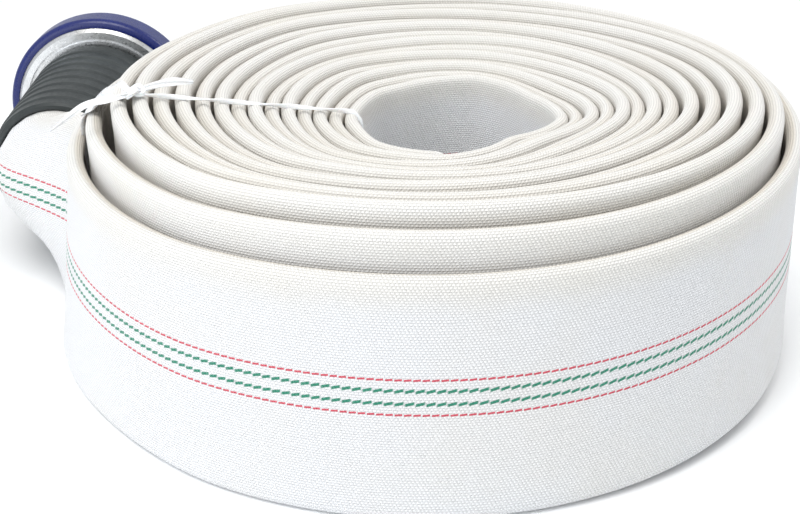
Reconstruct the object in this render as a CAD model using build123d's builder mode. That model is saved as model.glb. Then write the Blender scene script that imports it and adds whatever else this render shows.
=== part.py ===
import os
from math import cos, pi, radians, sin

from build123d import *

# Lay-flat fire hose in a double roll: it is folded at mid-length, the fold sits in the middle of
# the roll, and both ends come off the outside into swivel couplings. Millimetres, +Z up.
# The origin is on the floor, on the axis of the roll's centre hole.

# Flattened hose
flat_width = 124.0
layer_thickness = 9.0
jacket_wall = 1.6
lining_wall = 0.8
fold_radius = 0.4

# Roll: the two strands of a double turn are wound as half turns about two centres
hole_radius = 56.0
layer_gap = 1.2
half_turns = 14
left_last_sweep = 90.0
rear_last_sweep = 135.0

# Heights of the strands' lower edges above the floor: the turns dish down towards the hole
inner_lift = 2.0
dish_rise = 24.0
left_strand_lifts = [17.0, 0.0, 0.0]
rear_strand_lifts = [22.0, 17.0, 8.0]
level_length = 12.0

# Hose ends, where the flat hose opens out to a round tube
flare_length = 64.0
end_lean = 6.0
hose_fit = 0.05

# Coupling, measured back from its mating face
tail_wall = 4.0
barb_depth = 0.9
barb_count = 7
neck_step = 3.0
flange_width = 4.6
flange_thickness = 8.0
neck_margin = 4.0
shank_length = 64.0
running_clearance = 0.06
free_clearance = 0.35
ring_wall = 13.7
ring_length = 30.0
ring_chamfer = 2.5
bumper_thickness = 6.0
bumper_front = 3.5
bumper_setback = 2.0
bumper_rounding = 4.5
snap_thickness = 1.8
snap_height = 1.6
recess_depth = 9.0
recess_inner_wall = 2.9
recess_outer_wall = 3.6
lug_angle = 46.0
lug_width = 3.6
lug_height = 10.0
hook_reach = 2.2
lug_rounding = 1.0
hook_height = 3.6
ledge_angle = 64.0
ledge_reach = 2.6
ledge_height = 3.4
seat_wall = 1.2
seat_lip = 1.6
seal_width = 7.4
seal_depth = 5.0
seat_floor = 9.0
seal_proud = 1.0
wire_diameter = 2.0
wire_turns = 5
wire_overlap = 0.1
wire_spots = [18.0, 40.0]
sleeve_gap = 1.5
sleeve_overhang = 49.0
sleeve_lip_length = 8.0
sleeve_front_wall = 7.0
sleeve_lip_wall = 5.0
sleeve_rib_height = 0.9
sleeve_rib_width = 3.0
sleeve_rib_count = 8
tube_margin = 3.0

# Tape that ties the roll, inside its last turn
tape_width = 6.0
tape_thickness = 0.4
tape_clearance = 0.35
knot_length = 14.0
knot_height = 7.0
knot_width = 9.0

# Worked out from the sizes above
layer_pitch = layer_thickness + layer_gap
strand_offset = layer_pitch / 2
first_radius = hole_radius + layer_thickness + layer_gap / 2
round_diameter = 2 * flat_width / pi
hose_outer_radius = round_diameter / 2
end_offset = hose_outer_radius - layer_thickness / 2 - end_lean
shank_radius = hose_outer_radius - jacket_wall - lining_wall - hose_fit
bore_radius = shank_radius - tail_wall
neck_radius = hose_outer_radius + neck_step
flange_radius = neck_radius + flange_width
flange_front = seal_depth + seat_floor
flange_back = flange_front + flange_thickness
neck_end = ring_length + neck_margin
shank_end = neck_end + shank_length
sleeve_front = ring_length + sleeve_gap
sleeve_end = shank_end + sleeve_overhang
hose_end = sleeve_end + tube_margin
bumper_back = ring_length - bumper_setback
front_bore = flange_radius + free_clearance
shoulder_bore = neck_radius + running_clearance
ring_radius = front_bore + ring_wall
bumper_radius = ring_radius + bumper_thickness
axle_height = bumper_radius
blank_height = 3 * flat_width


def turn_radius(turn):
    return first_radius + turn * layer_pitch


def turn_centre(turn):
    return layer_pitch / 2 if turn % 2 == 0 else -layer_pitch / 2


def dish_lift(junction):
    return inner_lift + dish_rise * junction / (half_turns - 2)


# A strand's height where half turn number "junction" starts; the last turns have their own
left_lifts = [dish_lift(junction) for junction in range(half_turns - 1)] + left_strand_lifts
rear_lifts = [dish_lift(junction) for junction in range(half_turns - 1)] + rear_strand_lifts


def half_turn(turn, offset, lifts, inset, sweep=180.0):
    # One half turn of a strand, as a solid bar drawn in by inset on every side
    centre = (0, turn_centre(turn))
    middle = turn_radius(turn) + offset
    inner = middle - layer_thickness / 2 + inset
    outer = middle + layer_thickness / 2 - inset
    start = 270.0 if turn % 2 == 0 else 90.0
    with BuildPart() as bar:
        with BuildSketch(Plane.XY.offset(-flat_width)):
            with BuildLine():
                outside = CenterArc(centre, outer, start, -sweep)
                inside = CenterArc(centre, inner, start, -sweep)
                Line(outside @ 0, inside @ 0)
                Line(outside @ 1, inside @ 1)
            make_face()
        extrude(amount=blank_height)
        if turn % 2 == 0:
            front_low, back_low = lifts[turn], lifts[turn + 1]
        else:
            front_low, back_low = lifts[turn + 1], lifts[turn]
        front = centre[1] - middle
        back = centre[1] + middle
        ramp = [
            (front - level_length, front_low),
            (front + level_length, front_low),
            (back - level_length, back_low),
            (back + level_length, back_low),
        ]
        lower = [(y, low + inset) for y, low in ramp]
        upper = [(y, low + flat_width - inset) for y, low in reversed(ramp)]
        with BuildSketch(Plane.YZ):
            with BuildLine():
                Polyline(*lower, *upper, close=True)
            make_face()
        extrude(amount=outer + layer_thickness, both=True, mode=Mode.INTERSECT)
    return bar.part


def fold(inset):
    # The bend at mid-length that joins the two strands in the centre hole
    centre = (0, turn_centre(0) - first_radius)
    with BuildPart() as bend:
        with BuildSketch(Plane.XY.offset(inner_lift + inset)):
            with BuildLine():
                outside = CenterArc(centre, layer_gap / 2 + layer_thickness - inset, 90, -180)
                inside = CenterArc(centre, layer_gap / 2 + inset, 90, -180)
                Line(outside @ 0, inside @ 0)
                Line(outside @ 1, inside @ 1)
            make_face()
        extrude(amount=flat_width - 2 * inset)
    return bend.part


def strand_end_height(lifts, sweep, offset):
    # Height of the strand's middle where its last, partial half turn stops
    middle = turn_radius(half_turns) + offset
    reach = -middle * cos(radians(sweep))
    share = (reach + middle - level_length) / (2 * middle - 2 * level_length)
    low = lifts[half_turns] + (lifts[half_turns + 1] - lifts[half_turns]) * share
    return low + flat_width / 2


def end_planes(lifts, sweep, offset):
    # The plane where the flat strand stops, the plane where the tube is round, and the mating face
    turned = radians(270.0 - sweep)
    outward = Vector(cos(turned), sin(turned), 0)
    heading = Vector(sin(turned), -cos(turned), 0)
    middle = turn_radius(half_turns) + offset
    foot = Vector(0, turn_centre(half_turns), 0) + outward * middle
    flat = foot + Vector(0, 0, strand_end_height(lifts, sweep, offset))
    axle = foot + outward * end_offset + Vector(0, 0, axle_height)
    flat_plane = Plane(origin=flat, x_dir=outward, z_dir=heading)
    round_plane = Plane(origin=axle + heading * flare_length, x_dir=outward, z_dir=heading)
    return flat_plane, round_plane, round_plane.offset(hose_end)


def hose_tail_end(flat_plane, round_plane, inset):
    # Flat to round, then the round tube over the coupling's shank
    width = round_diameter - 2 * inset
    with BuildPart() as tail:
        with BuildSketch(flat_plane):
            RectangleRounded(layer_thickness - 2 * inset, flat_width - 2 * inset, fold_radius)
        with BuildSketch(round_plane):
            RectangleRounded(width, width, width / 2 - hose_fit)
        loft()
        with BuildSketch(round_plane):
            RectangleRounded(width, width, width / 2 - hose_fit)
        extrude(amount=hose_end - neck_end - free_clearance)
    return tail.part


left_planes = end_planes(left_lifts, left_last_sweep, strand_offset)
rear_planes = end_planes(rear_lifts, rear_last_sweep, -strand_offset)


def hose_lengths(inset):
    # Every length of the hose, end to end, drawn in by inset
    lengths = [fold(inset)]
    for offset, lifts, sweep, planes in (
        (strand_offset, left_lifts, left_last_sweep, left_planes),
        (-strand_offset, rear_lifts, rear_last_sweep, rear_planes),
    ):
        for turn in range(half_turns):
            lengths.append(half_turn(turn, offset, lifts, inset))
        lengths.append(half_turn(half_turns, offset, lifts, inset, sweep))
        lengths.append(hose_tail_end(planes[0], planes[1], inset))
    return lengths


def hose_layer(outer_lengths, inner_lengths):
    # A hollow layer of the hose: each length is hollowed first, then they are joined end to end
    hollow = [outer - inner for outer, inner in zip(outer_lengths, inner_lengths)]
    with BuildPart() as layer:
        add(hollow)
    return layer.part


jacket_lengths = hose_lengths(0.0)
cavity_lengths = hose_lengths(jacket_wall)
waterway_lengths = hose_lengths(jacket_wall + lining_wall)
hose_jacket = hose_layer(jacket_lengths, cavity_lengths)
hose_lining = hose_layer(cavity_lengths, waterway_lengths)


def revolved(points):
    # A ring turned about the coupling's own +Z axis from (radius, height) points
    with BuildPart() as ring:
        with BuildSketch(Plane.XZ):
            with BuildLine():
                Polyline(*points, close=True)
            make_face()
        revolve(axis=Axis.Z)
    return ring.part


def sector(inner, outer, angle, bottom, height):
    # A pair of opposite curved blocks with softened ends, centred on the local X axis
    with BuildPart() as blocks:
        with BuildSketch(Plane.XY.offset(bottom)):
            with BuildLine():
                outside = CenterArc((0, 0), outer, -angle / 2, angle)
                inside = CenterArc((0, 0), inner, -angle / 2, angle)
                Line(outside @ 0, inside @ 0)
                Line(outside @ 1, inside @ 1)
            make_face()
            fillet(vertices(), radius=lug_rounding)
        extrude(amount=height)
        mirror(about=Plane.YZ)
    return blocks.part


def make_hose_tail():
    # Flange, neck and barbed shank, with the waterway through them
    barb_pitch = (shank_end - neck_end) / barb_count
    points = [(bore_radius, -flange_front), (flange_radius, -flange_front), (flange_radius, -flange_back)]
    points += [(neck_radius, -flange_back), (neck_radius, -neck_end)]
    for barb in range(barb_count):
        top = -neck_end - barb * barb_pitch
        points += [(shank_radius - barb_depth, top), (shank_radius, top - barb_pitch * 0.2)]
    points += [(shank_radius - barb_depth, -shank_end), (bore_radius, -shank_end)]
    return revolved(points)


def make_lug_ring():
    # Ring that turns on the tail, with two hooked lugs and two ledges for the other half's lugs
    groove_front = -flange_front + free_clearance + snap_thickness
    recess_inner = front_bore + recess_inner_wall
    recess_outer = ring_radius - recess_outer_wall
    groove = ring_wall / 6
    body = revolved([
        (shoulder_bore, -ring_length),
        (ring_radius - 4 * groove, -ring_length),
        (ring_radius - 4 * groove, -ring_length + groove),
        (ring_radius - 3 * groove, -ring_length + groove),
        (ring_radius - 3 * groove, -ring_length),
        (ring_radius - ring_chamfer, -ring_length),
        (ring_radius, -ring_length + ring_chamfer),
        (ring_radius, -ring_chamfer),
        (ring_radius - ring_chamfer, 0),
        (recess_outer, 0),
        (recess_outer, -recess_depth),
        (recess_inner, -recess_depth),
        (recess_inner, -1),
        (recess_inner - 1, 0),
        (front_bore + 1, 0),
        (front_bore, -1),
        (front_bore, groove_front),
        (front_bore + snap_height, groove_front),
        (front_bore + snap_height, groove_front - snap_thickness),
        (front_bore, groove_front - snap_thickness),
        (front_bore, -flange_back - free_clearance),
        (shoulder_bore, -flange_back - free_clearance),
    ])
    lug_outer = recess_inner + lug_width
    lugs = sector(front_bore + 1, lug_outer, lug_angle, -recess_depth, recess_depth + lug_height)
    hook_bottom = lug_height - hook_height
    hooks = sector(recess_inner, lug_outer + hook_reach, lug_angle, hook_bottom, hook_height)
    ledges = sector(recess_outer - ledge_reach, recess_outer + 1, ledge_angle, -ledge_height, ledge_height)
    with BuildPart() as ring:
        add(body)
        add(lugs)
        add(hooks)
        add(ledges.rotate(Axis.Z, 90))
    return ring.part


def make_bumper_ring():
    with BuildPart() as bumper:
        with BuildSketch(Plane.XZ):
            with BuildLine():
                Polyline(
                    (ring_radius, -bumper_front),
                    (bumper_radius, -bumper_front),
                    (bumper_radius, -bumper_back),
                    (ring_radius, -bumper_back),
                    close=True,
                )
            make_face()
            fillet(vertices().group_by(Axis.X)[-1], radius=bumper_rounding)
        revolve(axis=Axis.Z)
    return bumper.part


def make_seal_seat():
    # Shallow cup on the front of the tail's flange that holds the face seal
    floor = -seal_depth
    seal_outer = bore_radius + seat_wall + seal_width
    return revolved([
        (bore_radius, -flange_front),
        (seal_outer + seat_wall, -flange_front),
        (seal_outer + seat_wall, -seat_lip),
        (seal_outer, -seat_lip),
        (seal_outer, floor),
        (bore_radius + seat_wall, floor),
        (bore_radius + seat_wall, -seat_lip),
        (bore_radius, -seat_lip),
    ])


def make_face_seal():
    # Soft ring with a rounded lip that stands just proud of the mating face
    inner = bore_radius + seat_wall
    outer = inner + seal_width
    return revolved([
        (inner, -seal_depth),
        (outer, -seal_depth),
        (outer, 0),
        (outer - seal_proud, seal_proud),
        (inner + seal_proud, seal_proud),
        (inner, 0),
    ])


def make_snap_ring():
    # Split spring ring in the lug ring's groove, just in front of the tail's flange
    back = -flange_front + free_clearance
    split = 20.0
    with BuildPart() as snap:
        with BuildSketch(Plane.XY.offset(back)):
            with BuildLine():
                outside = CenterArc((0, 0), front_bore + snap_height, 90 + split / 2, 360 - split)
                inside = CenterArc((0, 0), front_bore - snap_height, 90 + split / 2, 360 - split)
                Line(outside @ 0, inside @ 0)
                Line(outside @ 1, inside @ 1)
            make_face()
        extrude(amount=snap_thickness)
    return snap.part


def make_rubber_sleeve():
    # Guard over the bound end of the hose, with turned ribs and a lip that grips the hose
    inner = hose_outer_radius + wire_diameter + free_clearance
    front_inner = neck_radius + free_clearance
    lip_inner = hose_outer_radius + free_clearance
    front_outer = front_inner + sleeve_front_wall
    lip_outer = lip_inner + sleeve_lip_wall
    length = sleeve_end - sleeve_front
    rib_pitch = length / (sleeve_rib_count + 1)
    points = [(front_inner, -sleeve_front), (front_outer - 1, -sleeve_front), (front_outer, -sleeve_front - 1)]
    for rib in range(1, sleeve_rib_count + 1):
        middle = sleeve_front + rib * rib_pitch
        for place, height in ((-1.0, 0.0), (-0.5, sleeve_rib_height), (0.5, sleeve_rib_height), (1.0, 0.0)):
            back = middle + place * sleeve_rib_width
            wall = front_outer + (lip_outer - front_outer) * (back - sleeve_front) / length
            points.append((wall + height, -back))
    points += [(lip_outer, -sleeve_end + 2), (lip_outer - 1.5, -sleeve_end), (lip_inner + 1, -sleeve_end)]
    points += [(lip_inner, -sleeve_end + 1), (lip_inner, -sleeve_end + sleeve_lip_length)]
    points += [(inner, -sleeve_end + sleeve_lip_length + 3), (inner, -neck_end - 3), (front_inner, -neck_end)]
    return revolved(points)


def make_binding_wire(start):
    # Turns of wire laid side by side round the hose, over the shank
    with BuildPart() as wire:
        with BuildSketch(Plane.XZ):
            for turn in range(wire_turns):
                height = -start - turn * (wire_diameter - wire_overlap)
                with Locations((hose_outer_radius + hose_fit + wire_diameter / 2, height)):
                    Circle(wire_diameter / 2)
        revolve(axis=Axis.Z)
    return wire.part


coupling_parts = {
    "hose_tail": make_hose_tail(),
    "lug_ring": make_lug_ring(),
    "bumper_ring": make_bumper_ring(),
    "seal_seat": make_seal_seat(),
    "face_seal": make_face_seal(),
    "snap_ring": make_snap_ring(),
    "rubber_sleeve": make_rubber_sleeve(),
    "front_wire": make_binding_wire(neck_end + wire_spots[0]),
    "rear_wire": make_binding_wire(neck_end + wire_spots[1]),
}


# The tape passes up through the hole, over every turn but the last, down outside them and back
# under them, at the left, where half turns with even numbers are at their middle.
def left_low(lifts, turn):
    return (lifts[turn] + lifts[turn + 1]) / 2


def inner_face(turn):
    return -(turn_radius(turn) - layer_pitch + layer_gap / 2)


crest_turn = half_turns - 2
tape_plane = turn_centre(half_turns)
crest_outer = inner_face(crest_turn) - 2 * layer_pitch + layer_gap
crest_top = max(left_low(rear_lifts, crest_turn), left_low(left_lifts, crest_turn)) + flat_width
rear_face = -(turn_radius(half_turns) - layer_gap / 2)
rear_low = left_low(rear_lifts, half_turns)
tape_inside = [
    (inner_face(0) + tape_clearance, inner_lift - tape_clearance),
    (inner_face(0) + tape_clearance, left_low(rear_lifts, 0) + flat_width + tape_clearance),
    (inner_face(crest_turn - 2), left_low(rear_lifts, crest_turn - 2) + flat_width + tape_clearance),
    (inner_face(crest_turn), crest_top + tape_clearance),
    (crest_outer, crest_top + tape_clearance),
    (rear_face - tape_clearance, rear_low + flat_width + tape_clearance),
    (rear_face - tape_clearance, rear_low - tape_clearance),
]

with BuildPart() as tie_band:
    with BuildSketch(Plane.XZ.offset(-tape_plane)):
        with BuildLine():
            Polyline(*tape_inside, close=True)
        make_face()
        offset(amount=tape_thickness, kind=Kind.INTERSECTION)
        with BuildLine():
            Polyline(*tape_inside, close=True)
        make_face(mode=Mode.SUBTRACT)
    extrude(amount=tape_width / 2, both=True)

knot_middle = (crest_outer + inner_face(crest_turn)) / 2
knot_foot = crest_top + tape_clearance + tape_thickness
knot_start = knot_middle - knot_length / 2
knot_stop = knot_middle + knot_length / 2
with BuildPart() as tie_knot:
    with BuildSketch(Plane.XZ.offset(-tape_plane)):
        with BuildLine():
            Line((knot_start, knot_foot), (knot_stop, knot_foot))
            ThreePointArc((knot_start, knot_foot), (knot_middle, knot_foot + knot_height), (knot_stop, knot_foot))
        make_face()
    extrude(amount=knot_width / 2, both=True)

pieces = {
    "hose_jacket": hose_jacket,
    "hose_lining": hose_lining,
    "tie_band": tie_band.part,
    "tie_knot": tie_knot.part,
}
for side, planes in (("left", left_planes), ("rear", rear_planes)):
    for name, part in coupling_parts.items():
        pieces[side + "_" + name] = part.moved(planes[2].location)

os.makedirs("parts", exist_ok=True)
for name, part in pieces.items():
    part.label = name
    export_step(part, "parts/" + name + ".step")


def strand_length(offset, sweep):
    turns = sum(pi * (turn_radius(turn) + offset) for turn in range(half_turns))
    return turns + radians(sweep) * (turn_radius(half_turns) + offset)


hose_length = strand_length(strand_offset, left_last_sweep) + strand_length(-strand_offset, rear_last_sweep)
hose_length += pi * strand_offset + 2 * (flare_length + hose_end - neck_end)
print("hose length", round(hose_length), "bumper radius", round(bumper_radius, 3))
print("waterway radius", round(bore_radius, 4), "length", shank_end - seat_lip, "seat lip", seat_lip)
for side, planes in (("left", left_planes), ("rear", rear_planes)):
    mouth = planes[2].origin
    heading = planes[2].z_dir
    print(side, "mating face", [round(v, 3) for v in mouth], "axis", [round(v, 5) for v in heading])
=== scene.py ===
import math

import bpy
import numpy as np
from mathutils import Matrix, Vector


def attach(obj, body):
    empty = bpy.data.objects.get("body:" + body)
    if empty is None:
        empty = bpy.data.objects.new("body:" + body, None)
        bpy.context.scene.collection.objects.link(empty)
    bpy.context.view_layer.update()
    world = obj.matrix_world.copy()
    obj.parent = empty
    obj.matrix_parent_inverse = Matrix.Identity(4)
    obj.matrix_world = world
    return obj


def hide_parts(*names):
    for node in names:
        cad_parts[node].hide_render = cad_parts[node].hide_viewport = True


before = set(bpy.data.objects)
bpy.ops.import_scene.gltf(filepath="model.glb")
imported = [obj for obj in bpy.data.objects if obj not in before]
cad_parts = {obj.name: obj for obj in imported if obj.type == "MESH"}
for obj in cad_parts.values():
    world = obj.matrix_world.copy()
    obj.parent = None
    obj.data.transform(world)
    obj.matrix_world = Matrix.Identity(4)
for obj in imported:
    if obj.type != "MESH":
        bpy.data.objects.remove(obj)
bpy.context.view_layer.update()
print("frame loaded:", len(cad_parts), "nodes")


# ---- camera and light

view = {
    "place": (0.0049, -0.7359, 0.3830), "down": 24.58, "turn": 0.74,
    "lens": 60.12, "sensor": 36, "shift": (-0.0310, -0.0136), "nearest": 0.01,
}

cameraData = bpy.data.cameras.new("camera")
camera = bpy.data.objects.new("camera", cameraData)
bpy.context.scene.collection.objects.link(camera)
camera.location = view["place"]
camera.rotation_euler = (math.radians(90 - view["down"]), 0, math.radians(view["turn"]))
cameraData.sensor_width = view["sensor"]
cameraData.lens = view["lens"]
cameraData.shift_x, cameraData.shift_y = view["shift"]
cameraData.clip_start = view["nearest"]
bpy.context.scene.camera = camera
bpy.context.scene.view_settings.view_transform = "Standard"

studio = {
    "sky": (0.97, 0.985, 1.0), "skyPower": 0.80, "aim": (0, 0, 0.08),
    "key": {"place": (-0.35, -0.5, 1.3), "size": 0.9, "power": 11.0, "colour": (1.0, 0.985, 0.96)},
    "rim": {"place": (0.9, 0.6, 1.1), "size": 0.8, "power": 6.0, "colour": (1.0, 0.98, 0.95)},
    "fill": {"place": (-0.9, -0.9, 0.35), "size": 1.0, "power": 4.0, "colour": (0.92, 0.96, 1.0)},
}


def softLight(name, facts):
    data = bpy.data.lights.new(name, "AREA")
    data.shape = "DISK"
    data.size = facts["size"]
    data.energy = facts["power"]
    data.color = facts["colour"]
    lamp = bpy.data.objects.new(name, data)
    bpy.context.scene.collection.objects.link(lamp)
    lamp.location = facts["place"]
    toRoll = Vector(studio["aim"]) - lamp.location
    lamp.rotation_euler = toRoll.to_track_quat("-Z", "Y").to_euler()


def makeStudio():
    world = bpy.data.worlds.new("studio")
    bpy.context.scene.world = world
    world.use_nodes = True
    sky = world.node_tree.nodes["Background"]
    sky.inputs["Color"].default_value = (*studio["sky"], 1)
    sky.inputs["Strength"].default_value = studio["skyPower"]
    for name in ("key", "rim", "fill"):
        softLight(name + "Light", studio[name])


makeStudio()


# ---- small helpers for node trees

def link(tree, output, target):
    tree.links.new(output, target)


def feed(tree, target, value):
    # A value is a socket to link or a plain number or colour
    if isinstance(value, bpy.types.NodeSocket):
        link(tree, value, target)
    else:
        target.default_value = value


def calc(tree, operation, first, second=0.0, third=0.0):
    node = tree.nodes.new("ShaderNodeMath")
    node.operation = operation
    for target, value in zip(node.inputs, (first, second, third)):
        feed(tree, target, value)
    return node.outputs[0]


def ramp(tree, value, low, high, toLow=0.0, toHigh=1.0):
    node = tree.nodes.new("ShaderNodeMapRange")
    node.interpolation_type = "SMOOTHSTEP"
    feeds = {"Value": value, "From Min": low, "From Max": high, "To Min": toLow, "To Max": toHigh}
    for name, amount in feeds.items():
        feed(tree, node.inputs[name], amount)
    return node.outputs["Result"]


def blendColours(tree, factor, first, second, mode="MIX"):
    node = tree.nodes.new("ShaderNodeMix")
    node.data_type = "RGBA"
    node.blend_type = mode
    feed(tree, node.inputs[0], factor)
    feed(tree, node.inputs[6], first)
    feed(tree, node.inputs[7], second)
    return node.outputs[2]


def noise(tree, vector, scale, detail=2.0, roughness=0.5):
    node = tree.nodes.new("ShaderNodeTexNoise")
    feed(tree, node.inputs["Vector"], vector)
    node.inputs["Scale"].default_value = scale
    node.inputs["Detail"].default_value = detail
    node.inputs["Roughness"].default_value = roughness
    return node.outputs["Fac"]


def bump(tree, height, distance):
    node = tree.nodes.new("ShaderNodeBump")
    node.inputs["Distance"].default_value = distance
    feed(tree, node.inputs["Height"], height)
    return node.outputs["Normal"]


def newGroup(name, inputs, outputs):
    tree = bpy.data.node_groups.new(name, "ShaderNodeTree")
    for label, kind, value in inputs:
        socket = tree.interface.new_socket(label, in_out="INPUT", socket_type=kind)
        if value is not None:
            socket.default_value = value
    for label, kind in outputs:
        tree.interface.new_socket(label, in_out="OUTPUT", socket_type=kind)
    return tree, tree.nodes.new("NodeGroupInput"), tree.nodes.new("NodeGroupOutput")


def placeGroup(tree, group, **values):
    node = tree.nodes.new("ShaderNodeGroup")
    node.node_tree = group
    for name, value in values.items():
        feed(tree, node.inputs[name], value)
    return node


def newMaterial(name, **values):
    material = bpy.data.materials.new(name)
    material.use_nodes = True
    tree = material.node_tree
    shader = tree.nodes["Principled BSDF"]
    for label, value in values.items():
        shader.inputs[label.replace("_", " ")].default_value = value
    return material, tree, shader


def colour(red, green, blue):
    return (red, green, blue, 1.0)


# ---- shared effects

def makeDustGroup():
    # Uneven dust and handling marks from two sizes of noise in the object's own space
    inputs = [("Vector", "NodeSocketVector", None), ("Scale", "NodeSocketFloat", 30.0)]
    tree, entry, leave = newGroup("dust", inputs, [("Mask", "NodeSocketFloat"), ("Fine", "NodeSocketFloat")])
    scaled = tree.nodes.new("ShaderNodeVectorMath")
    scaled.operation = "SCALE"
    link(tree, entry.outputs["Vector"], scaled.inputs[0])
    link(tree, entry.outputs["Scale"], scaled.inputs["Scale"])
    broad = noise(tree, scaled.outputs[0], 1.0, 4.0, 0.6)
    fine = noise(tree, scaled.outputs[0], 14.0, 3.0, 0.6)
    link(tree, ramp(tree, broad, 0.42, 0.72), leave.inputs["Mask"])
    link(tree, fine, leave.inputs["Fine"])
    return tree


dustGroup = makeDustGroup()


def objectSpace(tree):
    return tree.nodes.new("ShaderNodeTexCoord").outputs["Object"]


# ---- hose

hose = {
    "flatWidth": 0.127, "lean": 0.02, "leanFrom": 9.0, "leanOver": 5.0,
    "leftPulls": (0.007, 0.013, 0.009, 0.005), "pulledLayers": (0.0, 13.2, 14.0, 15.0),
    "spread": 0.004, "spreadLean": 0.12, "spreadFrom": 14.7, "spreadOver": 0.3,
    "innerThickness": 0.0078, "thicknessGrowth": 0.00008, "waist": 0.84, "puffDepth": 0.016,
    "halfTurns": 14, "leftEnd": 14.5, "rearEnd": 14.75,
    "firstRadius": 0.0605, "innerPitch": 0.0092, "looseness": 0.015, "looseFrom": 7.0, "looseOver": 8.0,
    "innerLift": 0.002, "dishRise": 0.024,
    "leftLifts": (0.0245, 0.0, 0.0), "rearLifts": (0.0275, 0.017, 0.008),
    "holeShift": 0.0075, "holeShrink": 0.0025, "holeDecay": 8.0,
    "cornerDecay": 7.0, "cornerSoftness": (1.5, 1.5),
    "tubeRadius": 0.03947, "flareLength": 0.064, "tubeLength": 0.11565, "axleHeight": 0.06712,
    "leftFlare": {"foot": (-0.2165, 0.0051), "heading": (0.0, 1.0), "outward": 0.02597},
    "rearFlare": {"foot": (-0.143755, 0.148855), "heading": (0.70711, 0.70711), "outward": 0.02897},
    "pocketDepth": 0.066, "pocketRadius": 0.0372, "step": 0.005, "sideCuts": 11, "edgeCuts": 6,
    "unevenness": 0.0006, "ripple": 0.0009, "settleLength": 0.03, "foldCuts": 9, "denseCuts": 12000,
    # These two set where the painted shade between the turns begins above the next layer's top and over what
    # depth it reaches full strength
    "creviceAbove": 0.004, "creviceFade": 0.016,
}

# How far the innermost turn is pushed out at its corners and pulled in between them, by azimuth in degrees
holeCorners = {-85: 0.004, -43: -0.019, -3: 0.001, 32: -0.004, 71: 0.013, 111: 0.003, 183: 0.004, 240: 0.002}


def smooth(value):
    value = np.clip(value, 0.0, 1.0)
    return value * value * (3 - 2 * value)


def cornerPush(azimuth, layer):
    angles = sorted(holeCorners)
    pushes = [holeCorners[angle] for angle in angles]
    spread = hose["cornerSoftness"][0] + hose["cornerSoftness"][1] * np.maximum(layer, 0)
    total = 0
    for share in (-1.5, -1.0, -0.5, 0.0, 0.5, 1.0, 1.5):
        total = total + np.interp(azimuth + spread * share, angles, pushes, period=360)
    return total / 7


def strandCentre(side, turn):
    # Centreline of a strand of the roll: side is 1 for the left strand and -1 for the rear one
    layer = turn + 0.5 * side
    azimuth = 270.0 - 180.0 * turn
    angle = np.radians(azimuth)
    radius = hose["firstRadius"] + hose["innerPitch"] * layer
    radius = radius + hose["looseness"] * smooth((layer - hose["looseFrom"]) / hose["looseOver"])
    fade = np.exp(-np.maximum(layer, 0) / hose["holeDecay"])
    radius = radius + fade * (hose["holeShift"] * np.cos(angle) - hose["holeShrink"])
    radius = radius + cornerPush(azimuth, layer) * np.exp(-(layer + 0.5) / hose["cornerDecay"])
    unevenness = np.sin(3 * angle + 0.35 * layer) * np.sin(0.5 * layer) + 0.6 * np.sin(5 * angle + 1.3)
    radius = radius + hose["unevenness"] * unevenness * smooth(layer / 4) * smooth((14.5 - layer) / 1.5)
    # The tie draws the left of the roll in
    facingLeft = smooth((-np.cos(angle) - 0.5) / 0.5)
    radius = radius - facingLeft * np.interp(layer, hose["pulledLayers"], hose["leftPulls"])
    radius = radius + hose["spread"] * smooth((layer - hose["spreadFrom"]) / hose["spreadOver"])
    return np.stack([radius * np.cos(angle), radius * np.sin(angle)], -1)


def leanOf(side, turn):
    # How far a layer's top leans inwards, for each metre of height. The last turn's foot spreads further,
    # where it leaves the roll for the coupling
    outer = smooth((turn - hose["leanFrom"]) / hose["leanOver"])
    leaving = smooth((turn + 0.5 * side - hose["spreadFrom"]) / hose["spreadOver"])
    return side * (hose["lean"] * outer + hose["spreadLean"] * leaving)


def lowerEdge(side, turn):
    count = hose["halfTurns"] - 1
    lifts = [hose["innerLift"] + hose["dishRise"] * n / (hose["halfTurns"] - 2) for n in range(count)]
    lifts += hose["leftLifts"] if side > 0 else hose["rearLifts"]
    whole = np.clip(np.floor(turn), 0, len(lifts) - 2).astype(int)
    lifts = np.array(lifts)
    share = smooth(turn - whole)
    ripple = hose["ripple"] * np.sin(7.3 * turn + side) * smooth(turn) * smooth((13.0 - turn) / 2)
    return lifts[whole] + (lifts[whole + 1] - lifts[whole]) * share + ripple


def evenSteps(centres, spacing):
    # Picks points along a dense line so that they are evenly spaced
    along = np.concatenate([[0], np.cumsum(np.linalg.norm(np.diff(centres, axis=0), axis=1))])
    wanted = np.linspace(0, along[-1], max(2, round(along[-1] / spacing) + 1))
    return np.interp(wanted, along, np.arange(len(centres)))


def strandStations(side, lastTurn):
    # Stations of one strand from the fold outwards: centre, lower edge, layer thickness and turn
    dense = np.linspace(0, lastTurn, hose["denseCuts"])
    spots = evenSteps(strandCentre(side, dense), hose["step"])
    turns = np.interp(spots, np.arange(len(dense)), dense)
    centres = strandCentre(side, turns)
    layers = turns + 0.5 * side
    thickness = hose["innerThickness"] + hose["thicknessGrowth"] * layers
    return centres, lowerEdge(side, turns), thickness, turns


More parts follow.
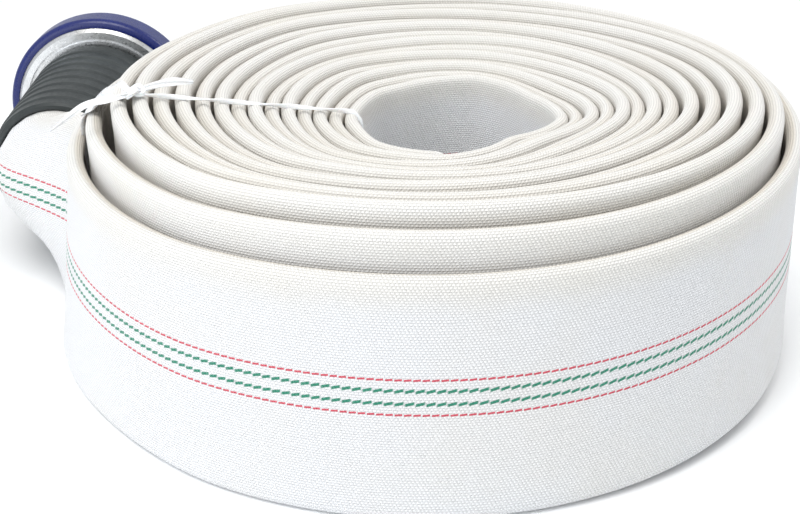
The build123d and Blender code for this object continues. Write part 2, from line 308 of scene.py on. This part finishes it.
def flareStations(flare, low, start):
    # Stations from the flat strand's end to the hose's end, where it is a round tube
    heading = np.array(flare["heading"])
    outward = np.array([-heading[1], heading[0]])
    total = hose["flareLength"] + hose["tubeLength"]
    count = round(total / hose["step"])
    steps = np.arange(1, count + 1) / count * total
    opened = smooth(steps / hose["flareLength"])
    drift = steps / hose["flareLength"]
    lined = start + heading * steps[:, None]
    settled = np.array(flare["foot"]) + heading * steps[:, None]
    mixing = smooth(steps / hose["settleLength"])[:, None]
    centres = lined * (1 - mixing) + settled * mixing
    centres = centres + outward * (flare["outward"] * np.minimum(drift, 1.0))[:, None]
    middle = low + hose["flatWidth"] / 2
    return centres, middle + (hose["axleHeight"] - middle) * opened, opened


def sectionShape(halfThickness, halfHeight, waist):
    # Right-hand wall upwards, over the top edge, left-hand wall down, round the bottom edge
    straight = halfHeight - halfThickness
    wallShares = np.linspace(-1, 1, hose["sideCuts"])
    wallShares = np.sign(wallShares) * (1 - (1 - np.abs(wallShares)) ** 1.6)
    nearEdge = smooth(1 - straight * (1 - np.abs(wallShares)) / hose["puffDepth"])
    wallWidth = halfThickness * (waist + (1 - waist) * nearEdge)
    turnShares = np.linspace(0, math.pi, hose["edgeCuts"] + 2)[1:-1]
    right = np.stack([wallWidth, straight * wallShares], -1)
    top = np.stack([halfThickness * np.cos(turnShares), straight + halfThickness * np.sin(turnShares)], -1)
    left = np.stack([-wallWidth[::-1], straight * wallShares[::-1]], -1)
    bottom = -top
    return np.concatenate([right, top, left, bottom])


def hoseStations():
    # From the left coupling, in to the fold, and out to the rear coupling
    left = strandStations(1, hose["leftEnd"])
    rear = strandStations(-1, hose["rearEnd"])
    rows = []
    for side, strand, flare in ((1, left, hose["leftFlare"]), (-1, rear, hose["rearFlare"])):
        centres, lows, thickness, turns = strand
        run = []
        for n in range(len(turns)):
            run.append((centres[n], lows[n] + hose["flatWidth"] / 2, thickness[n] / 2, 0.0, side, turns[n]))
        flareCentres, middles, opened = flareStations(flare, lows[-1], centres[-1])
        for n in range(len(opened)):
            run.append((flareCentres[n], middles[n], thickness[-1] / 2, opened[n], side, turns[-1]))
        rows.append(run)
    # The fold is a half ring between the two strands' first stations
    first, last = rows[0][0], rows[1][0]
    centre = (first[0] + last[0]) / 2
    radius = np.linalg.norm(first[0] - last[0]) / 2
    bend = []
    for angle in np.linspace(0, math.pi, hose["foldCuts"])[1:-1]:
        offset = np.array([math.sin(angle), -math.cos(angle)]) * radius
        bend.append((centre + offset, first[1], first[2], 0.0, 0, 0.0))
    return rows[0][::-1] + bend + rows[1]


def neighbourTop(side, turn, outward):
    # Height of the top of the layer next to this one, or None where there is none
    if side == 0:
        return None
    if outward:
        otherSide, otherTurn = (-1, turn + 2) if side > 0 else (1, turn)
    else:
        otherSide, otherTurn = (-1, turn) if side > 0 else (1, turn - 2)
    limit = hose["leftEnd"] if otherSide > 0 else hose["rearEnd"]
    if otherTurn < 0 or otherTurn > limit:
        return None
    return float(lowerEdge(otherSide, np.array([otherTurn]))[0]) + hose["flatWidth"]


def makeHose(materials):
    stations = hoseStations()
    centres = np.array([row[0] for row in stations])
    tangents = np.gradient(centres, axis=0)
    tangents /= np.linalg.norm(tangents, axis=1)[:, None]
    along = np.concatenate([[0], np.cumsum(np.linalg.norm(np.diff(centres, axis=0), axis=1))])
    halfWidth = hose["flatWidth"] / 2
    points, around, shade = [], [], []
    for (centre, middle, half, opened, side, turn), tangent in zip(stations, tangents):
        shape = sectionShape(half, halfWidth, hose["waist"])
        closed = np.concatenate([shape, shape[:1]])
        threads = np.concatenate([[0], np.cumsum(np.linalg.norm(np.diff(closed, axis=0), axis=1))])
        turned = math.tau * (threads[:-1] - halfWidth + half) / threads[-1]
        tube = hose["tubeRadius"] * np.stack([np.cos(turned), np.sin(turned)], -1)
        shape = shape + (tube - shape) * opened
        right = np.array([tangent[1], -tangent[0]])
        ring = np.empty((len(shape), 3))
        lean = leanOf(side, turn) * (1 - opened)
        ring[:, :2] = centre + right * (shape[:, :1] - lean * shape[:, 1:])
        ring[:, 2] = middle + shape[:, 1]
        points.append(ring)
        around.append(threads)
        # Painted shade: how far each wall point lies below the top of the next layer, from none to full, to
        # tint the jacket a warm shade colour in the gaps between the turns
        tops = [neighbourTop(side, turn, True), neighbourTop(side, turn, False)]
        if side < 0:
            tops.reverse()
        depth = np.zeros(len(shape))
        for wallSign, top in zip((1, -1), tops):
            if top is not None and opened == 0.0:
                above = top + hose["creviceAbove"] - ring[:, 2]
                covered = smooth(above / hose["creviceFade"])
                depth = np.where(shape[:, 0] * wallSign > 0, covered, depth)
        shade.append(depth)
    rings, perRing = len(points), len(points[0])
    hoseLength = along[-1]
    print("hose: length", round(hoseLength, 3), "m,", rings, "stations")

    vertices = [tuple(p) for ring in points for p in ring]
    uvs = [[(along[n], a) for a in around[n]] for n in range(rings)]
    faces, faceUvs, faceSlots = [], [], []

    def addStrip(firstRing, secondRing, firstUv, secondUv, slot, flip=False):
        for k in range(perRing):
            nextK = (k + 1) % perRing
            face = [firstRing + k, firstRing + nextK, secondRing + nextK, secondRing + k]
            corners = [firstUv[k], firstUv[k + 1], secondUv[k + 1], secondUv[k]]
            if flip:
                face.reverse()
                corners.reverse()
            faces.append(face)
            faceUvs.append(corners)
            faceSlots.append(slot)

    for n in range(rings - 1):
        addStrip(n * perRing, (n + 1) * perRing, uvs[n], uvs[n + 1], 0)

    # Pockets at both ends, where the couplings' shanks go in
    for end, tangent in ((0, -tangents[0]), (rings - 1, tangents[-1])):
        centre = np.array([*centres[end], stations[end][1]])
        inward = np.array([-tangent[0], -tangent[1], 0.0])
        outer = points[end] - centre
        rim = centre + outer * hose["pocketRadius"] / hose["tubeRadius"]
        previous = end * perRing
        for depth in (0.0, hose["pocketDepth"]):
            start = len(vertices)
            vertices += [tuple(p) for p in rim + inward * depth]
            addStrip(previous, start, uvs[end], uvs[end], 1, end == 0)
            previous = start
        bottom = list(range(previous, previous + perRing))
        faces.append(bottom if end == 0 else bottom[::-1])
        faceUvs.append([uvs[end][k] for k in range(perRing)][::1 if end == 0 else -1])
        faceSlots.append(1)

    mesh = bpy.data.meshes.new("fireHose")
    mesh.from_pydata(vertices, [], faces)
    uvLayer = mesh.uv_layers.new(name="alongHose")
    flatUvs = [value for corners in faceUvs for uv in corners for value in uv]
    uvLayer.data.foreach_set("uv", np.array(flatUvs))
    # Per-vertex amount of painted shade between the turns, read by the jacket material
    creviceShade = mesh.attributes.new("creviceShade", "FLOAT", "POINT")
    values = np.zeros(len(vertices), np.float32)
    values[:rings * perRing] = np.concatenate(shade)
    creviceShade.data.foreach_set("value", values)
    mesh.polygons.foreach_set("use_smooth", [True] * len(mesh.polygons))
    mesh.polygons.foreach_set("material_index", faceSlots)
    for material in materials:
        mesh.materials.append(material)
    mesh.update()
    piece = bpy.data.objects.new("fire_hose", mesh)
    bpy.context.scene.collection.objects.link(piece)
    return piece, hoseLength


weave = {"along": 0.0019, "across": 0.0014, "depth": 0.0006, "stepPerRow": 0.38, "fuzzScale": 2600.0}
stripes = {
    "heights": (0.0717, 0.0660, 0.0593, 0.0535), "width": 0.0016,
    "red": colour(0.60, 0.022, 0.06), "green": colour(0.0, 0.22, 0.13),
    "redPitch": 0.0042, "greenPitch": 0.0048,
}
jacket = {
    "top": colour(0.86, 0.85, 0.825), "wall": colour(0.86, 0.872, 0.895),
    # Painted warm shade colour for the gaps between the turns
    "creviceShadeColour": colour(0.62, 0.53, 0.40),
    "dirt": colour(0.16, 0.12, 0.09), "stain": colour(0.76, 0.72, 0.64), "creviceShadeShare": 0.5,
}


def addStripe(tree, base, along, across, place, shade):
    # A dashed thread: each dash slants a little, like the links of a chain
    pitch = stripes[shade + "Pitch"]
    slant = 0.34 if shade == "green" else 0.12
    phase = calc(tree, "FRACT", calc(tree, "DIVIDE", along, pitch))
    centred = calc(tree, "SUBTRACT", phase, 0.5)
    offset = calc(tree, "SUBTRACT", across, place)
    tilted = calc(tree, "MULTIPLY_ADD", centred, -slant * 0.004, offset)
    width = stripes["width"] if shade == "green" else stripes["width"] * 0.7
    line = ramp(tree, calc(tree, "ABSOLUTE", tilted), width * 0.35, width * 0.65, 1.0, 0.0)
    gapTone = 0.0 if shade == "red" else 0.4
    dash = ramp(tree, calc(tree, "ABSOLUTE", centred), 0.36, 0.46, 1.0, gapTone)
    strength = 0.92 if shade == "red" else 0.97
    mask = calc(tree, "MULTIPLY", calc(tree, "MULTIPLY", line, dash), strength)
    return blendColours(tree, mask, base, stripes[shade])


def makeJacketMaterial():
    material, tree, shader = newMaterial("wovenJacket", Roughness=0.78)
    shader.inputs["Sheen Weight"].default_value = 0.25
    shader.inputs["Sheen Roughness"].default_value = 0.5
    shader.inputs["Specular IOR Level"].default_value = 0.3
    uv = tree.nodes.new("ShaderNodeUVMap")
    uv.uv_map = "alongHose"
    split = tree.nodes.new("ShaderNodeSeparateXYZ")
    link(tree, uv.outputs[0], split.inputs[0])
    along, across = split.outputs[0], split.outputs[1]

    # Weft threads lie in rows round the hose and step sideways from row to row, which makes the twill
    rowPhase = calc(tree, "MULTIPLY", across, math.pi / weave["across"])
    rows = calc(tree, "ABSOLUTE", calc(tree, "SINE", rowPhase))
    rowIndex = calc(tree, "FLOOR", calc(tree, "DIVIDE", across, weave["across"]))
    alongRow = calc(tree, "DIVIDE", along, weave["along"])
    stepped = calc(tree, "MULTIPLY_ADD", rowIndex, weave["stepPerRow"], alongRow)
    knuckle = calc(tree, "SINE", calc(tree, "MULTIPLY", stepped, math.tau))
    knuckle = calc(tree, "MULTIPLY_ADD", knuckle, 0.5, 0.5)
    roundedRows = calc(tree, "POWER", rows, 0.5)
    knuckleLift = calc(tree, "MULTIPLY_ADD", knuckle, 0.8, 0.2)
    threads = calc(tree, "MULTIPLY", roundedRows, knuckleLift)
    space = objectSpace(tree)
    fuzz = noise(tree, space, weave["fuzzScale"], 2.0)
    height = calc(tree, "MULTIPLY_ADD", fuzz, 0.25, threads)

    # Warm along the folded edges, cooler on the walls, and a painted warm shade down between the turns,
    # where a wall lies below the next layer's top
    fromEdge = calc(tree, "ABSOLUTE", calc(tree, "SUBTRACT", across, hose["flatWidth"] * 0.985))
    wallMask = ramp(tree, fromEdge, 0.008, 0.024)
    base = blendColours(tree, wallMask, jacket["top"], jacket["wall"])
    creviceShade = tree.nodes.new("ShaderNodeAttribute")
    creviceShade.attribute_name = "creviceShade"
    creviceShadeMask = calc(tree, "MULTIPLY", creviceShade.outputs["Fac"], jacket["creviceShadeShare"])
    base = blendColours(tree, creviceShadeMask, base, jacket["creviceShadeColour"])
    # Painted shade: the colour is darkened down to 80 % in the hollows between the threads, following the
    # weave's height
    threadHollowShade = ramp(tree, threads, 0.0, 0.8, 0.80, 1.0)
    hollowShadeColour = tree.nodes.new("ShaderNodeCombineColor")
    for target in hollowShadeColour.inputs:
        link(tree, threadHollowShade, target)
    base = blendColours(tree, 1.0, base, hollowShadeColour.outputs[0], "MULTIPLY")
    blotch = ramp(tree, noise(tree, space, 14.0, 4.0, 0.6), 0.35, 0.75, 0.0, 0.25)
    base = blendColours(tree, blotch, base, jacket["stain"])

    # Four woven marker lines along one wall
    for place, shade in zip(stripes["heights"], ("red", "green", "green", "red")):
        base = addStripe(tree, base, along, across, place, shade)

    speckle = ramp(tree, noise(tree, space, 420.0, 2.0, 0.7), 0.735, 0.76)
    patch = ramp(tree, noise(tree, space, 30.0, 2.0, 0.5), 0.60, 0.68)
    specks = calc(tree, "MULTIPLY", calc(tree, "MULTIPLY", speckle, patch), 0.7)
    base = blendColours(tree, specks, base, jacket["dirt"])
    link(tree, base, shader.inputs["Base Color"])
    link(tree, bump(tree, height, weave["depth"]), shader.inputs["Normal"])
    return material


def makeLiningMaterial():
    material, tree, shader = newMaterial("hoseLining", Roughness=0.5)
    fine = noise(tree, objectSpace(tree), 900.0, 3.0)
    tone = blendColours(tree, fine, colour(0.012, 0.012, 0.013), colour(0.03, 0.03, 0.032))
    link(tree, tone, shader.inputs["Base Color"])
    link(tree, bump(tree, fine, 0.0002), shader.inputs["Normal"])
    return material


fireHose, hoseLength = makeHose([makeJacketMaterial(), makeLiningMaterial()])
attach(fireHose, "roll")
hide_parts("hose_jacket", "hose_lining")
print("hose made")


# ---- tape that ties the roll

tape = {
    "azimuths": (178.0, 195.0, 184.0), "clearance": 0.0009,
    "strandWidth": 0.0030, "strandThickness": 0.0014, "twistPitch": 0.07,
    "filmThickness": 0.0004, "filmWidth": 0.028, "filmDrop": 0.052, "wrinkle": 0.0007, "creases": 5.0,
    "knotScale": 0.0019, "knotStrand": 0.0028, "knotThickness": 0.0024, "knotLayer": 12.2,
    "lastTied": 14, "tailThickness": 0.0005, "sections": 12,
}


def crownSpot(layer, azimuth, low=False):
    # A point on the top, or under the bottom, of a layer at the roll's left
    if layer % 1:
        inner, outer = crownSpot(int(layer), azimuth, low), crownSpot(int(layer) + 1, azimuth, low)
        return inner + (outer - inner) * (layer % 1)
    side = 1 if layer % 2 else -1
    turn = np.array([layer - 0.5 * side - (azimuth - 180) / 180])
    edge = float(lowerEdge(side, turn)[0])
    height = edge - tape["clearance"] if low else edge + hose["flatWidth"] + tape["clearance"]
    return np.array([*strandCentre(side, turn)[0], height])


def smoothPath(points, step=0.001, softness=4):
    points = np.array(points, float)
    along = np.concatenate([[0], np.cumsum(np.linalg.norm(np.diff(points, axis=0), axis=1))])
    wanted = np.linspace(0, along[-1], max(8, int(along[-1] / step)))
    path = np.stack([np.interp(wanted, along, points[:, axis]) for axis in range(3)], -1)
    for _ in range(softness):
        path[1:-1] = (path[:-2] + 2 * path[1:-1] + path[2:]) / 4
    return path


def makeRibbon(name, path, widths, thickness, across=(0, 1, 0), twistPitch=None, wrinkle=0.0, closed=False):
    # A strip of film along a path: it may twist along its length, and wrinkle across its width
    if closed:
        tangents = np.roll(path, -1, 0) - np.roll(path, 1, 0)
    else:
        tangents = np.gradient(path, axis=0)
    tangents /= np.linalg.norm(tangents, axis=1)[:, None]
    along = np.concatenate([[0], np.cumsum(np.linalg.norm(np.diff(path, axis=0), axis=1))])
    widths = np.interp(np.linspace(0, 1, len(path)), np.linspace(0, 1, len(widths)), widths)
    shares = np.linspace(-1, 1, tape["sections"])
    vertices, faces = [], []
    for n, point in enumerate(path):
        tangent = tangents[n]
        sideways = np.array(across, float) - tangent * np.dot(across, tangent)
        sideways /= np.linalg.norm(sideways)
        normal = np.cross(sideways, tangent)
        if twistPitch:
            turned = math.tau * along[n] / twistPitch
            sideways, normal = (
                sideways * math.cos(turned) + normal * math.sin(turned),
                normal * math.cos(turned) - sideways * math.sin(turned),
            )
        waves = wrinkle * np.sin(shares * tape["creases"] + 90 * along[n] + 1.7 * np.sin(55 * along[n]))
        rounding = np.sqrt(np.maximum(1 - shares ** 2, 0.02)) * thickness / 2
        for height, places in ((waves + rounding, shares), ((waves - rounding)[::-1], shares[::-1])):
            for lift, share in zip(height, places):
                vertices.append(tuple(point + sideways * share * widths[n] / 2 + normal * lift))
    perRing = 2 * len(shares)
    rings = len(path)
    for n in range(rings if closed else rings - 1):
        first, second = n * perRing, (n + 1) % rings * perRing
        for k in range(perRing):
            nextK = (k + 1) % perRing
            faces.append((first + k, first + nextK, second + nextK, second + k))
    if not closed:
        faces.append(tuple(range(perRing))[::-1])
        faces.append(tuple(range((rings - 1) * perRing, rings * perRing)))
    mesh = bpy.data.meshes.new(name)
    mesh.from_pydata(vertices, [], faces)
    mesh.polygons.foreach_set("use_smooth", [True] * len(mesh.polygons))
    mesh.update()
    piece = bpy.data.objects.new(name, mesh)
    bpy.context.scene.collection.objects.link(piece)
    mesh.materials.append(tapeMaterial)
    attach(piece, "roll")
    return piece


def makeTapeMaterial():
    # Thin milky film with fine lengthwise splits
    material, tree, shader = newMaterial("tapeFilm", Roughness=0.3)
    shader.inputs["Coat Weight"].default_value = 0.2
    shader.inputs["Subsurface Weight"].default_value = 0.1
    space = objectSpace(tree)
    fibres = noise(tree, space, 700.0, 3.0, 0.6)
    tone = blendColours(tree, fibres, colour(0.80, 0.82, 0.84), colour(0.95, 0.955, 0.96))
    link(tree, tone, shader.inputs["Base Color"])
    link(tree, ramp(tree, fibres, 0.3, 0.7, 0.22, 0.42), shader.inputs["Roughness"])
    link(tree, bump(tree, fibres, 0.0003), shader.inputs["Normal"])
    return material


tapeMaterial = makeTapeMaterial()


def makeTape():
    atHole, atKnot, atCrest = tape["azimuths"]
    bend = math.radians(atCrest)
    outward = np.array([math.cos(bend), math.sin(bend), 0])
    crest = crownSpot(tape["lastTied"], atCrest)
    face = crest + outward * (hose["innerThickness"] * 0.62 + tape["clearance"])
    knotSpot = crownSpot(tape["knotLayer"], atKnot) + (0, 0, 0.0015)
    holeTop = crownSpot(0, atHole) + (0.0012, 0, 0)
    holeFace = holeTop + (hose["innerThickness"] / 2 + tape["clearance"], 0, -0.006)
    filmEnd = face - (0, 0, tape["filmDrop"])

    # The strand: taut from the knot over the crowns, down through the hole and back under the roll
    clear = 0.0005
    for layer in range(1, 12):
        share = layer / tape["knotLayer"]
        crown = crownSpot(layer, atHole + (atKnot - atHole) * share)
        clear = max(clear, crown[2] - holeTop[2] - (knotSpot[2] - holeTop[2]) * share)
    offKnot = knotSpot * 0.9 + holeTop * 0.1 + (0, 0, clear)
    route = [knotSpot, offKnot, holeTop + (-0.004, 0, clear), holeTop, holeFace]
    route += [holeFace * (1, 1, 0) + (0, 0, crownSpot(0, atHole, True)[2] + 0.002)]
    for layer in range(0, tape["lastTied"] + 1):
        azimuth = atHole + (atCrest - atHole) * layer / tape["lastTied"]
        route.append(crownSpot(layer, azimuth, True))
    route += [face * (1, 1, 0) + (0, 0, crownSpot(tape["lastTied"], atCrest, True)[2] + 0.004), filmEnd]
    strand = makeRibbon("tape_strand", smoothPath(route), [tape["strandWidth"]], tape["strandThickness"],
                        twistPitch=tape["twistPitch"])
    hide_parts("tie_band")

    # The same film, spread out flat where it bends over the last tied turn
    spread = [knotSpot - (0.001, 0, 0.001), knotSpot * 0.4 + crest * 0.6 + (0, 0, 0.003)]
    spread += [crest + (0, 0, 0.001), face - (0, 0, 0.006), filmEnd + outward * 0.0005]
    full = tape["filmWidth"]
    widths = [0.006, full * 0.6, full, full, full * 0.95, full * 0.8, 0.012, 0.004]
    makeRibbon("tape_film", smoothPath(spread, 0.001, 8), widths, tape["filmThickness"],
               across=(-outward[1], outward[0], 0), wrinkle=tape["wrinkle"])

    # An overhand knot, drawn tight
    angles = np.linspace(0, math.tau, 90, endpoint=False)
    loops = np.stack([
        np.sin(angles) + 2 * np.sin(2 * angles),
        1.1 * (np.cos(angles) - 2 * np.cos(2 * angles)),
        -0.9 * np.sin(3 * angles),
    ], -1)
    knotPath = loops * tape["knotScale"] + knotSpot + (0, 0, 0.0018)
    knot = makeRibbon("tape_knot", knotPath, [tape["knotStrand"]], tape["knotThickness"],
                      across=(0.1, 0.2, 1), wrinkle=0.0002, closed=True)
    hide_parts("tie_knot")

    # Two loose ends
    front = knotSpot + (0.001, -0.002, 0.001)
    longTail = [front, front + (-0.010, -0.010, 0.002)]
    longTail += [front + (-0.022, -0.022, 0.001), front + (-0.036, -0.040, -0.007)]
    longWidths = [0.003, 0.004, 0.0035, 0.002]
    makeRibbon("tape_tail_long", smoothPath(longTail, 0.001, 20), longWidths, tape["tailThickness"],
               across=(0.6, -0.4, 0.7), twistPitch=0.13, wrinkle=0.0003)
    back = knotSpot + (0.001, 0.002, 0.001)
    shortTail = [back, back + (0.010, 0.005, 0.0025)]
    shortTail += [back + (0.020, 0.010, 0.003), back + (0.029, 0.015, 0.001)]
    shortWidths = [0.0025, 0.004, 0.005, 0.0025]
    makeRibbon("tape_tail_short", smoothPath(shortTail, 0.001, 20), shortWidths, tape["tailThickness"],
               across=(0.3, 0.6, 0.7), wrinkle=0.0005)


makeTape()
print("tape tied")


# ---- coupling metals and rubbers

coupling = {
    "bright": colour(0.70, 0.71, 0.72), "dull": colour(0.46, 0.46, 0.45),
    "blue": colour(0.003, 0.011, 0.12), "wornBlue": colour(0.008, 0.02, 0.15), "blueRoughness": 0.30,
    "black": colour(0.018, 0.024, 0.025), "wornBlack": colour(0.045, 0.055, 0.056), "blackRoughness": 0.42,
    "seal": colour(0.012, 0.012, 0.012), "wornSeal": colour(0.03, 0.03, 0.03), "sealRoughness": 0.5,
    "wire": colour(0.62, 0.63, 0.64), "dullWire": colour(0.42, 0.41, 0.39),
}


def makeAluminium():
    material, tree, shader = newMaterial("turnedAluminium", Metallic=1.0, Roughness=0.3)
    space = objectSpace(tree)
    dust = placeGroup(tree, dustGroup, Vector=space, Scale=40.0)
    tone = blendColours(tree, dust.outputs["Mask"], coupling["bright"], coupling["dull"])
    link(tree, tone, shader.inputs["Base Color"])
    link(tree, ramp(tree, dust.outputs["Fine"], 0.2, 0.8, 0.22, 0.42), shader.inputs["Roughness"])
    link(tree, bump(tree, dust.outputs["Fine"], 0.00008), shader.inputs["Normal"])
    return material


def makeRubber(name, kind, grain):
    roughness = coupling[kind + "Roughness"]
    deep, worn = coupling[kind], coupling["worn" + kind.capitalize()]
    material, tree, shader = newMaterial(name, Roughness=roughness)
    dust = placeGroup(tree, dustGroup, Vector=objectSpace(tree), Scale=35.0)
    mask = calc(tree, "MULTIPLY", dust.outputs["Mask"], 0.7)
    link(tree, blendColours(tree, mask, deep, worn), shader.inputs["Base Color"])
    roughFine = ramp(tree, dust.outputs["Fine"], 0.2, 0.8, roughness - 0.08, roughness + 0.1)
    link(tree, roughFine, shader.inputs["Roughness"])
    link(tree, bump(tree, dust.outputs["Fine"], grain), shader.inputs["Normal"])
    return material


def makeSteel():
    material, tree, shader = newMaterial("drawnSteel", Metallic=1.0, Roughness=0.35)
    dust = placeGroup(tree, dustGroup, Vector=objectSpace(tree), Scale=60.0)
    tone = blendColours(tree, dust.outputs["Mask"], coupling["wire"], coupling["dullWire"])
    link(tree, tone, shader.inputs["Base Color"])
    link(tree, ramp(tree, dust.outputs["Fine"], 0.2, 0.8, 0.28, 0.5), shader.inputs["Roughness"])
    return material


def dressCouplings():
    aluminium = makeAluminium()
    blueRubber = makeRubber("blueRubber", "blue", 0.00005)
    blackRubber = makeRubber("blackRubber", "black", 0.0001)
    sealRubber = makeRubber("sealRubber", "seal", 0.0001)
    steel = makeSteel()
    finishes = {
        "hose_tail": aluminium, "lug_ring": aluminium, "seal_seat": aluminium, "bumper_ring": blueRubber,
        "rubber_sleeve": blackRubber, "face_seal": sealRubber, "snap_ring": steel,
        "front_wire": steel, "rear_wire": steel,
    }
    for side in ("left", "rear"):
        for part, material in finishes.items():
            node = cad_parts[side + "_" + part]
            node.data.materials.clear()
            node.data.materials.append(material)


dressCouplings()
print("couplings dressed")


# ---- floor

ground = {"side": 12, "sunk": 0.0002, "pale": colour(0.93, 0.94, 0.95)}


def makeFloor():
    bpy.ops.mesh.primitive_plane_add(size=ground["side"], location=(0, 0, -ground["sunk"]))
    floor = bpy.context.object
    floor.name = "floor"
    material, _, shader = newMaterial("paleFloor", Roughness=0.9)
    shader.inputs["Base Color"].default_value = ground["pale"]
    floor.data.materials.append(material)


makeFloor()
print("floor laid")
